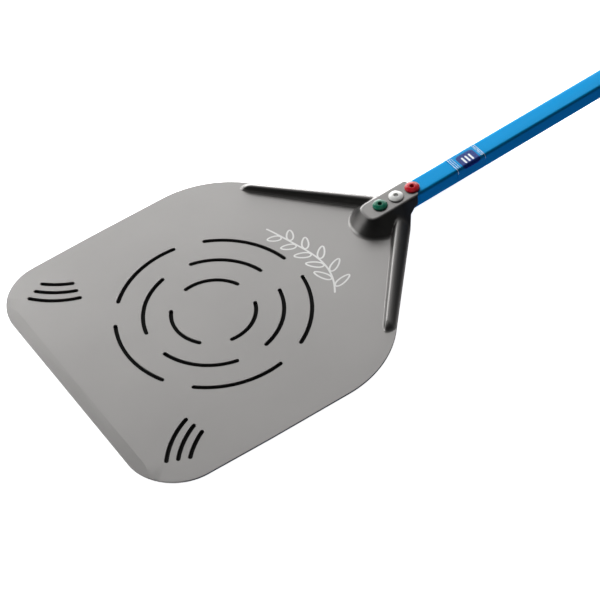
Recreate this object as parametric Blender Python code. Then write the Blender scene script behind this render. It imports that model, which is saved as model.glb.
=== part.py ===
"""Perforated pizza peel: a pressed aluminium blade riveted to a rectangular tube handle.

Metres, +Z up. The origin is on the underside of the blade, at the centre of the
rings of slots. +Y points along the handle, and the blade's lip is at -Y.
"""

from math import asin, atan2, cos, hypot, pi, radians, sin, sqrt, tan

import bmesh
import bpy
from mathutils import Matrix, Vector
from mathutils.geometry import delaunay_2d_cdt

MM = 0.001
GAP = 0.3 * MM  # air left between pieces that touch

# Blade sheet
SHEET = 2.0 * MM
LIP_Y = -166 * MM  # straight front edge
LIP_THICKNESS = 0.9 * MM
LIP_BEVEL_LENGTH = 12 * MM
CORNER_RADIUS = 55 * MM
CORNER_CENTRE = (108.5 * MM, -111 * MM)
SIDE_X = 166 * MM  # half width at the shoulder
SHOULDER_RADIUS = 111.3 * MM
SHOULDER_Y = 45 * MM
BACK_ANGLE = radians(-42.85)  # direction of the straight back edge, away from the neck
NECK_TRIM = 2.0 * MM  # the back edge is trimmed by this much where it meets the wall
NECK_TRIM_RUN = 22 * MM  # and over this length

# Slots
SLOT_WIDTH = 4 * MM
# radius, number of arcs, direction of the first arc's middle, half of an arc's angle
SLOT_RINGS = (
    (97.1 * MM, 5, 54.0, 26.4),
    (69.6 * MM, 4, 45.0, 30.9),
    (42.0 * MM, 3, 30.0, 37.8),
)
VENT_RADIUS = 91.6 * MM
VENT_CENTRE = (183.9 * MM, -63.1 * MM)
VENT_STEP = (8.67 * MM, 6.70 * MM)
VENT_ANGLES = ((200.5, 232.7), (203.7, 229.5), (206.9, 226.3))

# Handle tube
TUBE_WIDTH = 22 * MM
TUBE_HEIGHT = 18 * MM
TUBE_WALL = 1.5 * MM
TUBE_CORNER = 2.2 * MM
TUBE_TILT = radians(2.56)
TUBE_START_Y = 195 * MM
TUBE_END_Y = 850 * MM
TUBE_AXIS_Z = 1.05 * MM  # height at y = 0 of the tube's axis line

# Socket pressed from the sheet over the tube
SOCKET_BEND = 2.8 * MM  # outer radius of the bend between its top and its walls
SOCKET_FRONT_Y = 185 * MM
SOCKET_REAR_Y = 244.5 * MM  # rear end of its side walls
NOSE_CENTRE_Y = 199.5 * MM
NOSE_RADIUS = 28 * MM
WALL_X = 13.8 * MM  # outer face of the side walls
WALL_LEAN = 0.15 * MM  # the walls lean out by this much at their foot
# (y, z) along the foot of each wall where its lower rear corner is cut away
WALL_CUT = ((232.5 * MM, 1.5 * MM), (238 * MM, 9 * MM), (243.5 * MM, 11.5 * MM), (247 * MM, 12 * MM))
TONGUE_CENTRE_Y = 245 * MM  # the top goes on past the walls in a round tongue
TONGUE_RADIUS = 7.9 * MM

# Ribs along the back edges: height, crest and foot at the neck end, and their change
RIB_LENGTH = 162.5 * MM
RIB_END_LENGTH = 11 * MM
RIB_FLANGE = 1.0 * MM  # flat edge left outside the rib
RIB_HEIGHT = (11.5 * MM, -0.033)
RIB_CREST = (12.6 * MM, -0.021)
RIB_FOOT = (19.4 * MM, -0.038)
FILLET = 2.0 * MM
PRESSED_FROM_Y = 90 * MM  # the blade is flat ahead of this
CLOSEST = 0.4 * MM  # between the points that the sheet is divided at

# Blind rivets, front to rear, a little off the centre line as set by hand
RIVET_PLACES = ((0.0, 204.4 * MM), (0.8 * MM, 224.0 * MM), (1.3 * MM, 244.0 * MM))
RIVET_HEAD_RADIUS = 7.8 * MM
RIVET_HEAD_HEIGHT = 2.7 * MM
RIVET_SHANK_RADIUS = 3.2 * MM
RIVET_BORE_RADIUS = 2.0 * MM
RIVET_TAIL_RADIUS = 4.6 * MM
MANDREL_RADIUS = 1.7 * MM

# Label and end cap
LABEL_YS = (295 * MM, 332.5 * MM)
LABEL_THICKNESS = 0.15 * MM
LABEL_DROP = 15 * MM  # how far the label reaches down each side of the tube
CAP_FLANGE = 6 * MM
CAP_STEM = 24 * MM
EYE_RADIUS = 10 * MM
EYE_HOLE_RADIUS = 5.5 * MM
EYE_THICKNESS = 9 * MM
EYE_LENGTH = 30 * MM

ALUMINIUM = (0.42, 0.415, 0.405)
BLUE = (0.012, 0.27, 0.62)


def clear_scene():
    for thing in list(bpy.data.objects):
        bpy.data.objects.remove(thing, do_unlink=True)


def make_material(name, colour, roughness, metallic):
    material = bpy.data.materials.new(name)
    material.use_nodes = True
    shader = material.node_tree.nodes["Principled BSDF"]
    shader.inputs["Base Color"].default_value = (*colour, 1.0)
    shader.inputs["Roughness"].default_value = roughness
    shader.inputs["Metallic"].default_value = metallic
    return material


def make_object(name, bm, material, parent=None, smooth_angle=30):
    bmesh.ops.recalc_face_normals(bm, faces=bm.faces)
    mesh = bpy.data.meshes.new(name)
    bm.to_mesh(mesh)
    bm.free()
    mesh.materials.append(material)
    mesh.shade_smooth()
    mesh.set_sharp_from_angle(angle=radians(smooth_angle))
    piece = bpy.data.objects.new(name, mesh)
    bpy.context.scene.collection.objects.link(piece)
    piece.parent = parent
    return piece


def make_cutter(name, bm, parent=None):
    bmesh.ops.recalc_face_normals(bm, faces=bm.faces)
    mesh = bpy.data.meshes.new(name)
    bm.to_mesh(mesh)
    bm.free()
    cutter = bpy.data.objects.new(name, mesh)
    bpy.context.scene.collection.objects.link(cutter)
    cutter.parent = parent
    cutter.hide_render = True
    cutter.display_type = "WIRE"
    return cutter


def boolean(piece, cutter, operation):
    modifier = piece.modifiers.new(cutter.name, "BOOLEAN")
    modifier.operation = operation
    modifier.object = cutter
    modifier.solver = "EXACT"


def arc(centre, radius, start, end, steps):
    """Points on an arc from start to end, in degrees, both ends included."""
    angles = [radians(start + (end - start) * i / steps) for i in range(steps + 1)]
    return [(centre[0] + radius * cos(a), centre[1] + radius * sin(a)) for a in angles]


# ---------------------------------------------------------------- blade plan

BACK_ALONG = (cos(BACK_ANGLE), sin(BACK_ANGLE))
BACK_OUT = (-sin(BACK_ANGLE), cos(BACK_ANGLE))
SHOULDER_CENTRE = (SIDE_X - SHOULDER_RADIUS, SHOULDER_Y)
BACK_REACH = (
    SHOULDER_CENTRE[0] * BACK_OUT[0] + SHOULDER_CENTRE[1] * BACK_OUT[1] + SHOULDER_RADIUS
)
NECK_Y = (BACK_REACH - WALL_X * BACK_OUT[0]) / BACK_OUT[1]  # the back edges meet the walls


def back_edge_inset(x, y):
    """Distance from the straight back edge on x's side, inwards."""
    return BACK_REACH - abs(x) * BACK_OUT[0] - y * BACK_OUT[1]


def back_edge_run(x, y):
    """Distance along the back edge from the neck."""
    return (abs(x) - WALL_X) * BACK_ALONG[0] + (y - NECK_Y) * BACK_ALONG[1]


def right_outline():
    """The blade's edge from the middle of the lip round to the tip of the tongue."""
    out_angle = 90 + BACK_ANGLE * 180 / pi
    points = arc(CORNER_CENTRE, CORNER_RADIUS, -90, 0, 14)
    points += [(165.2 * MM, -45 * MM)]
    points += arc(SHOULDER_CENTRE, SHOULDER_RADIUS, 0, out_angle, 10)
    neck = (WALL_X, NECK_Y - NECK_TRIM)
    for corner, steps in ((back_edge_point(NECK_TRIM_RUN, 0), 22), (neck, 4)):
        start = Vector(points[-1])
        points += [tuple(start.lerp(Vector(corner), i / steps)) for i in range(1, steps + 1)]
    points += [(WALL_X, NECK_Y + (SOCKET_REAR_Y - NECK_Y) * t) for t in (0.5, 1)]
    bend_start = WALL_X - WALL_LEAN - SOCKET_BEND
    bend = [bend_start + SOCKET_BEND * sin(radians(a)) for a in (80, 60, 40, 20)]
    inner_wall = WALL_X - SHEET
    section = sorted(bend + [inner_wall, inner_wall - WALL_LEAN, bend_start], reverse=True)
    points += [(x, SOCKET_REAR_Y) for x in section]
    points += arc((0, TONGUE_CENTRE_Y), TONGUE_RADIUS, 0, 90, 6)
    return points


def outline():
    right = right_outline()
    left = [(-x, y) for x, y in reversed(right[:-1])]
    return right + left


def arc_slot(centre, radius, start, end):
    """A round-ended slot that follows an arc, as a closed loop of points."""
    half = SLOT_WIDTH / 2
    steps = max(4, round(radians(end - start) * radius / (5 * MM)))
    loop = arc(centre, radius + half, start, end, steps)
    for angle, turn in ((end, 0), (start, 180)):
        tip = arc(centre, radius, angle, angle, 1)[0]
        loop += arc(tip, half, angle + turn, angle + turn + 180, 4)[1:-1]
        if turn == 0:
            loop += arc(centre, radius - half, end, start, steps)
    return loop


def slot_loops():
    loops = []
    for radius, count, first, half_angle in SLOT_RINGS:
        for i in range(count):
            middle = first + 360 * i / count
            loops.append(arc_slot((0, 0), radius, middle - half_angle, middle + half_angle))
    for i, (start, end) in enumerate(VENT_ANGLES):
        centre = (VENT_CENTRE[0] + i * VENT_STEP[0], VENT_CENTRE[1] + i * VENT_STEP[1])
        right = arc_slot(centre, VENT_RADIUS, start, end)
        loops.append(right)
        loops.append([(-x, y) for x, y in reversed(right)])
    return loops


def rivet_hole_loops():
    return [arc(place, RIVET_SHANK_RADIUS + GAP, 0, 345, 23) for place in RIVET_PLACES]


# ---------------------------------------------------- pressed shape of the sheet


def smooth_max(a, b, blend):
    overlap = max(blend - abs(a - b), 0.0) / blend
    return max(a, b) + overlap * overlap * blend / 4


def tube_axis_z(y):
    return TUBE_AXIS_Z + y * tan(TUBE_TILT)


def socket_top_z(y):
    """Outer face of the socket's top, over the tube."""
    return tube_axis_z(y) + (TUBE_HEIGHT / 2 + GAP + SHEET) / cos(TUBE_TILT)


def bend_drop(distance, reach, depth):
    """How far a sheet has dropped at a distance past the start of its bend.

    The bend is an arc of SOCKET_BEND, and a straight slope leaves it so that the
    sheet is down by depth at reach.
    """
    if distance <= 0:
        return 0.0
    centre_angle = atan2(depth - SOCKET_BEND, reach)
    slope = centre_angle + asin(SOCKET_BEND / hypot(reach, depth - SOCKET_BEND))
    straight_from = SOCKET_BEND * sin(slope)
    if distance < straight_from:
        return SOCKET_BEND - sqrt(SOCKET_BEND**2 - distance**2)
    return SOCKET_BEND * (1 - cos(slope)) + (distance - straight_from) * tan(slope)


def flat_top_reach(side, ahead):
    """Reach of the socket's flat top from the nose's centre, in a direction (side, ahead)."""
    length = hypot(side, ahead)
    half_width = WALL_X - WALL_LEAN - SOCKET_BEND
    front = NOSE_CENTRE_Y - SOCKET_FRONT_Y - SOCKET_BEND / 2
    return ((side / length / half_width) ** 4 + (ahead / length / front) ** 4) ** -0.25


def wall_foot_x(y):
    edge_x = (BACK_REACH - y * BACK_OUT[1]) / BACK_OUT[0]
    return max(min(NOSE_RADIUS, edge_x - RIB_FLANGE), WALL_X)


def socket_height(x, y):
    """A flat-topped nose whose sides close in to upright walls towards the rear."""
    across = abs(x)
    if y < NOSE_CENTRE_Y:
        ahead = NOSE_CENTRE_Y - y
        distance = hypot(across, ahead)
        inner = flat_top_reach(across, ahead)
        outer = NOSE_RADIUS
    else:
        distance = across
        inner = flat_top_reach(1, 0)
        outer = wall_foot_x(y)
    depth = socket_top_z(y) - SHEET
    return depth - bend_drop(distance - inner, outer - inner, depth)


def rib_height(x, y):
    """A bead with a sloping outer side, a steep inner side and a round end."""
    run = back_edge_run(x, y)
    inset = back_edge_inset(x, y)
    height, crest, foot = (a + b * run for a, b in (RIB_HEIGHT, RIB_CREST, RIB_FOOT))
    if inset < crest:
        fall = ((crest - inset) / (crest - RIB_FLANGE)) ** 1.5
    else:
        fall = ((inset - crest) / (foot - crest)) ** 2.5
    past = max(run - (RIB_LENGTH - RIB_END_LENGTH), 0) / RIB_END_LENGTH
    return height * (1 - fall - past**2.2)


def pressed_height(x, y):
    """Height of the sheet's top face above the flat blade's top face."""
    if y < PRESSED_FROM_Y:
        return 0.0
    raised = smooth_max(socket_height(x, y), rib_height(x, y), 3 * MM)
    if raised < -FILLET:
        return 0.0
    return smooth_max(raised, 0.0, FILLET)


def top_z(x, y):
    bevel = max(LIP_Y + LIP_BEVEL_LENGTH - y, 0) / LIP_BEVEL_LENGTH
    return SHEET + pressed_height(x, y) - bevel * (SHEET - LIP_THICKNESS)


def underside_z(x, y):
    """One sheet thickness inside the top face: a ball of that radius rolled under it."""
    lowest = pressed_height(x, y)
    if y > PRESSED_FROM_Y:
        for radius in (0.45, 0.75, 0.93, 1.0):
            rise = SHEET * (1 - sqrt(1 - radius**2))
            for px, py in arc((x, y), radius * SHEET, 0, 330, 11):
                lowest = min(lowest, pressed_height(px, py) + rise)
    return lowest


def sheet_normal(x, y):
    step = 0.05 * MM
    slope_x = (pressed_height(x + step, y) - pressed_height(x - step, y)) / (2 * step)
    slope_y = (pressed_height(x, y + step) - pressed_height(x, y - step)) / (2 * step)
    return Vector((-slope_x, -slope_y, 1)).normalized()


def back_edge_point(run, inset):
    """The place on the right that is run along the back edge and inset from it."""
    along = run + WALL_X * BACK_ALONG[0] + NECK_Y * BACK_ALONG[1]
    reach = BACK_REACH - inset
    x = reach * BACK_OUT[0] + along * BACK_ALONG[0]
    return (x, reach * BACK_OUT[1] + along * BACK_ALONG[1])


def rib_lines():
    """Lines along the right rib: its flange, outer slope, crest, inner side and foot."""
    end = RIB_LENGTH - RIB_END_LENGTH
    runs = [6 * MM + (end - 6 * MM) * i / 18 for i in range(19)]
    runs += [end + RIB_END_LENGTH * t for t in (0.3, 0.5, 0.68, 0.83, 0.95, 1.06, 1.2)]
    lines = []
    for t in (-1, -0.7, -0.45, -0.2, 0, 0.3, 0.55, 0.76, 0.93, 1.04, 1.25):
        line = []
        for run in runs:
            crest = RIB_CREST[0] + RIB_CREST[1] * run
            foot = RIB_FOOT[0] + RIB_FOOT[1] * run
            width = crest - RIB_FLANGE if t < 0 else foot - crest
            line.append(back_edge_point(run, crest + t * width))
        lines.append(line)
    return lines


def socket_lines():
    """Lines round the right half of the nose and back along the socket's wall."""
    bends = [SOCKET_BEND * sin(radians(a)) for a in (0, 20, 40, 62)]
    places = [(bend, 0) for bend in bends] + [(0, t) for t in (0.4, 0.65, 0.86, 0.97, 1.07)]
    turns, rows = 10, 12
    lines = []
    for bend, share in places:
        line = []
        for i in range(turns):
            angle = radians(-90 + 90 * i / turns)
            inner = flat_top_reach(cos(angle), sin(angle))
            reach = inner + bend + share * (NOSE_RADIUS - inner)
            line.append((reach * cos(angle), NOSE_CENTRE_Y + reach * sin(angle)))
        for i in range(rows + 1):
            y = NOSE_CENTRE_Y + (SOCKET_REAR_Y - 1.2 * CLOSEST - NOSE_CENTRE_Y) * i / rows
            inner = flat_top_reach(1, 0)
            line.append((inner + bend + share * (wall_foot_x(y) - inner), y))
        lines.append(line)
    return lines


def offset_under(line):
    """A line on the top face moved to the underside, square to the sheet."""
    moved = []
    for x, y in line:
        normal = sheet_normal(x, y)
        moved.append((x - SHEET * normal.x, y - SHEET * normal.y))
    return moved


def split_line(line, wanted):
    """The stretches of a line that are wanted at every point and between the points."""
    stretches = [[]]
    for point in line:
        if not wanted(point):
            stretches.append([])
            continue
        if stretches[-1]:
            start = Vector(stretches[-1][-1])
            if not all(wanted(start.lerp(Vector(point), t)) for t in (0.25, 0.5, 0.75)):
                stretches.append([])
        stretches[-1].append(point)
    return [stretch for stretch in stretches if stretch]


def mirrored(lines):
    """Lines and their mirror images, joined up where they start on the centre line."""
    both = []
    for line in lines:
        image = [(-x, y) for x, y in line]
        if abs(line[0][0]) < CLOSEST:
            both.append(image[:0:-1] + line)
        else:
            both += [line, image]
    return both


def is_clear_of(point, loops, distance):
    return all(hypot(point[0] - x, point[1] - y) > distance for loop in loops for x, y in loop)


def inside_outline(point):
    x, y = abs(point[0]), point[1]
    if y > NECK_Y - NECK_TRIM:
        return x < WALL_X - CLOSEST and y < SOCKET_REAR_Y
    trimmed = NECK_TRIM * BACK_OUT[1] * max(1 - back_edge_run(x, y) / NECK_TRIM_RUN, 0)
    return back_edge_inset(x, y) > trimmed + CLOSEST


def inside_loop(point, loop):
    """Whether a point lies inside a closed loop, by counting the edges it is under."""
    inside = False
    for (x1, y1), (x2, y2) in zip(loop, loop[1:] + loop[:1]):
        if (y1 > point[1]) != (y2 > point[1]):
            if point[0] < x1 + (point[1] - y1) * (x2 - x1) / (y2 - y1):
                inside = not inside
    return inside


def lift_surface(bm, loops, lines, height):
    """One face of the sheet, divided along the lines. Returns its border loops."""
    points = []
    edges = []
    ring_ids = []
    for chain in loops + lines:
        ids = [len(points) + i for i in range(len(chain))]
        points += [Vector(p) for p in chain]
        edges += list(zip(ids, ids[1:]))
        if len(ring_ids) < len(loops):
            edges.append((ids[-1], ids[0]))
            ring_ids.append(ids)
    flat, _, faces, sources, _, _ = delaunay_2d_cdt(points, edges, [ring_ids[0]], 1, 1e-8)
    vertices = [bm.verts.new((x, y, height(x, y))) for x, y in flat]
    for face in faces:
        middle = sum((flat[i] for i in face), Vector((0, 0))) / len(face)
        if not any(inside_loop(middle, hole) for hole in loops[1:]):
            bm.faces.new([vertices[i] for i in face])
    placed = {source: i for i, group in enumerate(sources) for source in group}
    return [[vertices[placed[n]] for n in ids] for ids in ring_ids]


def blade_sheet():
    """The sheet's top face and underside, joined by the rims of its edge and holes."""
    loops = [outline()] + slot_loops() + rivet_hole_loops()

    def on_sheet(point):
        return inside_outline(point) and is_clear_of(point, loops, CLOSEST)

    def on_rib(point):
        return on_sheet(point) and rib_height(*point) > socket_height(*point)

    def on_socket(point):
        return on_sheet(point) and rib_height(*point) < socket_height(*point) + FILLET

    wall_ys = [NECK_Y + (SOCKET_REAR_Y - NECK_Y) * t for t in (-0.3, 0.2, 0.6, 0.92)]
    top_lines = []
    under_lines = []
    for lines, wanted in ((rib_lines(), on_rib), (socket_lines(), on_socket)):
        for line in lines:
            for stretch in split_line(line, wanted):
                top_lines.append(stretch)
                under_lines += split_line(offset_under(stretch), on_sheet)
    for lean in (-WALL_LEAN, WALL_LEAN):
        under_lines.append([(WALL_X - SHEET + lean, y) for y in wall_ys])

    bm = bmesh.new()
    bevel_line = [(-130 * MM + 26 * MM * i, LIP_Y + LIP_BEVEL_LENGTH) for i in range(11)]
    top_rings = lift_surface(bm, loops, mirrored(top_lines) + [bevel_line], top_z)
    under_rings = lift_surface(bm, loops, mirrored(under_lines), underside_z)
    for top, below in zip(top_rings, under_rings):
        for i, vertex in enumerate(top):
            j = (i + 1) % len(top)
            bm.faces.new((vertex, top[j], below[j], below[i]))
    loose = [v for v in bm.verts if not v.link_faces]
    bmesh.ops.delete(bm, geom=loose, context="VERTS")
    return bm


def wall_corner_cutter():
    """A block across both walls, below the line WALL_CUT."""
    below = -2 * MM
    section = list(WALL_CUT) + [(WALL_CUT[-1][0], below), (WALL_CUT[0][0], below)]
    bm = bmesh.new()
    face = bm.faces.new([bm.verts.new((-2 * WALL_X, y, z)) for y, z in section])
    pushed = bmesh.ops.extrude_face_region(bm, geom=[face], use_keep_orig=True)
    moved = [g for g in pushed["geom"] if isinstance(g, bmesh.types.BMVert)]
    bmesh.ops.translate(bm, verts=moved, vec=(4 * WALL_X, 0, 0))
    return make_cutter("wall_corner_cutter", bm)


def build_blade():
    material = make_material("satin_aluminium", ALUMINIUM, 0.42, 0.9)
    blade = make_object("blade", blade_sheet(), material, smooth_angle=40)
    boolean(blade, wall_corner_cutter(), "DIFFERENCE")
    return blade


# ------------------------------------------------------------------ handle parts


def prism(loop, low, high):
    """A closed loop of (x, z) points pushed along +Y from low to high."""
    bm = bmesh.new()
    face = bm.faces.new([bm.verts.new((x, low, z)) for x, z in loop])
    pushed = bmesh.ops.extrude_face_region(bm, geom=[face], use_keep_orig=True)
    moved = [g for g in pushed["geom"] if isinstance(g, bmesh.types.BMVert)]
    bmesh.ops.translate(bm, verts=moved, vec=(0, high - low, 0))
    return bm


def rounded_section(shrink, corner, steps=5):
    """The tube's outline as (x, z), shrunk on all sides."""
    across = TUBE_WIDTH / 2 - shrink - corner
    up = TUBE_HEIGHT / 2 - shrink - corner
    loop = []
    for i, (sx, sz) in enumerate(((1, 1), (-1, 1), (-1, -1), (1, -1))):
        start = 90 * i
        loop += arc((sx * across, sz * up), corner, start, start + 90, steps)
    return loop


def tube_length():
    return (TUBE_END_Y - TUBE_START_Y) / cos(TUBE_TILT)


def along_tube(y, above_axis=0.0):
    """Distance from the tube's inner end, along its axis, of a place given by its y."""
    return (y - TUBE_START_Y + above_axis * sin(TUBE_TILT)) / cos(TUBE_TILT)


def rivet_station(y):
    """Where along the tube a rivet goes whose hole in the socket's top is at y."""
    return along_tube(y, TUBE_HEIGHT / 2 + GAP + SHEET)


def build_handle_frame():
    """An empty at the tube's inner end, whose +Y runs along the tube's axis."""
    frame = bpy.data.objects.new("handle_frame", None)
    bpy.context.scene.collection.objects.link(frame)
    frame.location = (0, TUBE_START_Y, tube_axis_z(TUBE_START_Y))
    frame.rotation_euler = (TUBE_TILT, 0, 0)
    return frame


def build_tube(frame):
    outer = rounded_section(0, TUBE_CORNER)
    inner = rounded_section(TUBE_WALL, TUBE_CORNER - TUBE_WALL / 2)
    bm = bmesh.new()
    rings = []
    for loop in (outer, inner):
        for y in (0.0, tube_length()):
            rings.append([bm.verts.new((x, y, z)) for x, z in loop])
    count = len(outer)
    for first, second in ((0, 1), (1, 3), (3, 2), (2, 0)):
        for i in range(count):
            j = (i + 1) % count
            quad = (rings[first][i], rings[first][j], rings[second][j], rings[second][i])
            bm.faces.new(quad)
    material = make_material("blue_anodised", BLUE, 0.3, 0.6)
    tube = make_object("handle_tube", bm, material, frame)
    for i, (x, y) in enumerate(RIVET_PLACES):
        cutter = tube_hole_cutter(f"tube_hole_cutter_{i + 1}", x, y, frame)
        boolean(tube, cutter, "DIFFERENCE")
    return tube


def tube_hole_cutter(name, x, y, frame):
    bm = bmesh.new()
    radius = RIVET_SHANK_RADIUS + GAP
    place = Matrix.Translation((x, rivet_station(y), TUBE_HEIGHT / 2))
    bmesh.ops.create_cone(
        bm, cap_ends=True, segments=20, radius1=radius, radius2=radius,
        depth=3 * TUBE_WALL, matrix=place,
    )
    return make_cutter(name, bm, frame)


def lathe(profile, segments):
    """A closed ring of (radius, z) points turned once round the Z axis."""
    bm = bmesh.new()
    rings = []
    for i in range(segments):
        angle = 2 * pi * i / segments
        rings.append([bm.verts.new((r * cos(angle), r * sin(angle), z)) for r, z in profile])
    count = len(profile)
    for i, ring in enumerate(rings):
        after = rings[(i + 1) % segments]
        for j in range(count):
            k = (j + 1) % count
            bm.faces.new((ring[j], ring[k], after[k], after[j]))
    return bm


def rivet_profile():
    """Half section of a set rivet, up its bore and down its outside. z = 0 is under the head."""
    bore, shank, head = RIVET_BORE_RADIUS, RIVET_SHANK_RADIUS, RIVET_HEAD_RADIUS
    top = RIVET_HEAD_HEIGHT
    grip = SHEET + TUBE_WALL + 2 * GAP  # sheet, tube wall and the air between them
    tail = -(grip + GAP)
    section = [(bore, tail - 4.5 * MM), (bore, top - 0.7 * MM), (bore + 0.5 * MM, top - 0.2 * MM)]
    lip = 3.3 * MM
    section += [(lip, top), (lip + 1.5 * MM, top - 0.25 * MM)]
    section += [(head - x * MM, top - z * MM) for x, z in ((1.4, 0.75), (0.5, 1.4), (0, 2.0))]
    section += [(head - 0.1 * MM, 0.2 * MM), (head - 0.5 * MM, 0)]
    section += [(shank, 0), (shank, tail), (RIVET_TAIL_RADIUS, tail - 0.6 * MM)]
    section += [(RIVET_TAIL_RADIUS, tail - 2.6 * MM), (shank - 0.2 * MM, tail - 4.5 * MM)]
    return section


def mandrel_profile(top):
    """Half section of the broken mandrel stem with its bulb, from the axis outwards."""
    tail = -(SHEET + TUBE_WALL + 3 * GAP) - 4.5 * MM - GAP
    stem, bulb = MANDREL_RADIUS, RIVET_SHANK_RADIUS
    return [(stem - 0.3 * MM, top), (stem, top - 0.3 * MM), (stem, tail), (bulb, tail),
            (bulb, tail - 1.2 * MM), (bulb - 1.2 * MM, tail - 2.0 * MM)]


def turned_solid(profile, segments):
    """A solid without a bore: the profile's two ends are closed with flat caps."""
    bm = bmesh.new()
    rings = []
    for r, z in profile:
        angles = [2 * pi * i / segments for i in range(segments)]
        rings.append([bm.verts.new((r * cos(a), r * sin(a), z)) for a in angles])
    for ring, after in zip(rings, rings[1:]):
        for i in range(segments):
            j = (i + 1) % segments
            bm.faces.new((ring[i], ring[j], after[j], after[i]))
    bm.faces.new(rings[0])
    bm.faces.new(rings[-1])
    return bm


def build_rivets(frame):
    head_z = TUBE_HEIGHT / 2 + 2 * GAP + SHEET
    kinds = (
        ("front", (0.01, 0.22, 0.13), -2.0 * MM),
        ("middle", (0.8, 0.8, 0.78), 1.6 * MM),
        ("rear", (0.6, 0.02, 0.05), -2.0 * MM),
    )
    steel = make_material("mandrel_steel", (0.45, 0.45, 0.45), 0.4, 1.0)
    for (place, colour, stem_top), (x, y) in zip(kinds, RIVET_PLACES):
        enamel = make_material(f"rivet_enamel_{place}", colour, 0.2, 0.0)
        body = make_object(f"rivet_{place}", lathe(rivet_profile(), 24), enamel, frame)
        mandrel_mesh = turned_solid(mandrel_profile(stem_top), 16)
        mandrel = make_object(f"mandrel_{place}", mandrel_mesh, steel, frame)
        for piece in (body, mandrel):
            piece.location = (x, rivet_station(y), head_z)


def build_label(frame):
    """A clear film bent over the top of the tube and part way down its sides."""
    def film_side(offset):
        radius = TUBE_CORNER + offset
        corner = (TUBE_WIDTH / 2 - TUBE_CORNER, TUBE_HEIGHT / 2 - TUBE_CORNER)
        foot = TUBE_HEIGHT / 2 - LABEL_DROP
        right = [(TUBE_WIDTH / 2 + offset, foot)] + arc(corner, radius, 0, 90, 5)
        return right + [(-x, z) for x, z in reversed(right)]

    low, high = GAP * 0.4, GAP * 0.4 + LABEL_THICKNESS
    section = film_side(high) + list(reversed(film_side(low)))
    bm = bmesh.new()
    rings = []
    for y in LABEL_YS:
        rings.append([bm.verts.new((x, along_tube(y), z)) for x, z in section])
    count = len(section)
    for i in range(count):
        j = (i + 1) % count
        bm.faces.new((rings[0][i], rings[0][j], rings[1][j], rings[1][i]))
    for ring in rings:
        for i in range(count // 2 - 1):
            bm.faces.new((ring[i], ring[i + 1], ring[count - 2 - i], ring[count - 1 - i]))
    film = make_material("clear_film", (0.25, 0.5, 0.7), 0.15, 0.0)
    return make_object("handle_label", bm, film, frame)


def eye_plan():
    """Plan of the hanging eye as (x, y), y from the cap's flange outwards."""
    tip = arc((0, EYE_LENGTH - EYE_RADIUS), EYE_RADIUS, 0, 180, 14)
    root = TUBE_WIDTH / 2 - 1.0 * MM
    return [(root, -1 * MM)] + tip + [(-root, -1 * MM)]


def build_end_cap(frame):
    end = tube_length() + GAP
    rubber = make_material("black_polymer", (0.015, 0.015, 0.016), 0.5, 0.0)
    bm = prism(rounded_section(0, TUBE_CORNER), end, end + CAP_FLANGE)
    cap = make_object("end_cap", bm, rubber, frame)
    stem = rounded_section(TUBE_WALL + GAP, 1.4 * MM)
    stem_bm = prism(stem, end - CAP_STEM, end + 2 * MM)
    boolean(cap, make_cutter("cap_stem", stem_bm, frame), "UNION")

    eye_start = end + CAP_FLANGE
    eye = bmesh.new()
    loop = [(x, eye_start + y, -EYE_THICKNESS / 2) for x, y in eye_plan()]
    face = eye.faces.new([eye.verts.new(p) for p in loop])
    pushed = bmesh.ops.extrude_face_region(eye, geom=[face], use_keep_orig=True)
    moved = [g for g in pushed["geom"] if isinstance(g, bmesh.types.BMVert)]
    bmesh.ops.translate(eye, verts=moved, vec=(0, 0, EYE_THICKNESS))
    boolean(cap, make_cutter("cap_eye", eye, frame), "UNION")

    hole = bmesh.new()
    place = Matrix.Translation((0, eye_start + EYE_LENGTH - EYE_RADIUS, 0))
    bmesh.ops.create_cone(
        hole, cap_ends=True, segments=24, radius1=EYE_HOLE_RADIUS, radius2=EYE_HOLE_RADIUS,
        depth=2 * EYE_THICKNESS, matrix=place,
    )
    boolean(cap, make_cutter("cap_eye_hole", hole, frame), "DIFFERENCE")
    return cap


def main():
    clear_scene()
    build_blade()
    frame = build_handle_frame()
    build_tube(frame)
    build_rivets(frame)
    build_label(frame)
    build_end_cap(frame)


main()
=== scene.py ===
"""Looks of the perforated pizza peel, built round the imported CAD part. Metres, +Z up."""

from math import cos, hypot, pi, radians, sin, tan

import bmesh
import bpy
import numpy as np
from mathutils import Matrix, Vector
from mathutils.geometry import delaunay_2d_cdt


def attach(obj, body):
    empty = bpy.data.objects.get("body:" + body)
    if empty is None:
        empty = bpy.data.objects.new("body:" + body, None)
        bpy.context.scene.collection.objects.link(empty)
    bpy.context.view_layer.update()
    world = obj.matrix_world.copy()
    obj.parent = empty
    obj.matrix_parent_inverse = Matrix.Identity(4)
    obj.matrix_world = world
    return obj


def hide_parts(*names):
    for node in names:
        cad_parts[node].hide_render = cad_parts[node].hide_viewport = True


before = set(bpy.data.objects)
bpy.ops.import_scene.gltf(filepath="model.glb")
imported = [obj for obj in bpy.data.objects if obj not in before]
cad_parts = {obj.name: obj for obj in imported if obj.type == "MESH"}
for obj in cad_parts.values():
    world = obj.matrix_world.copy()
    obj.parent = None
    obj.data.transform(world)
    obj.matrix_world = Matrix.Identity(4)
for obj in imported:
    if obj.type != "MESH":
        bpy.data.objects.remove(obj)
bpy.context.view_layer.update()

MM = 0.001

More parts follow.
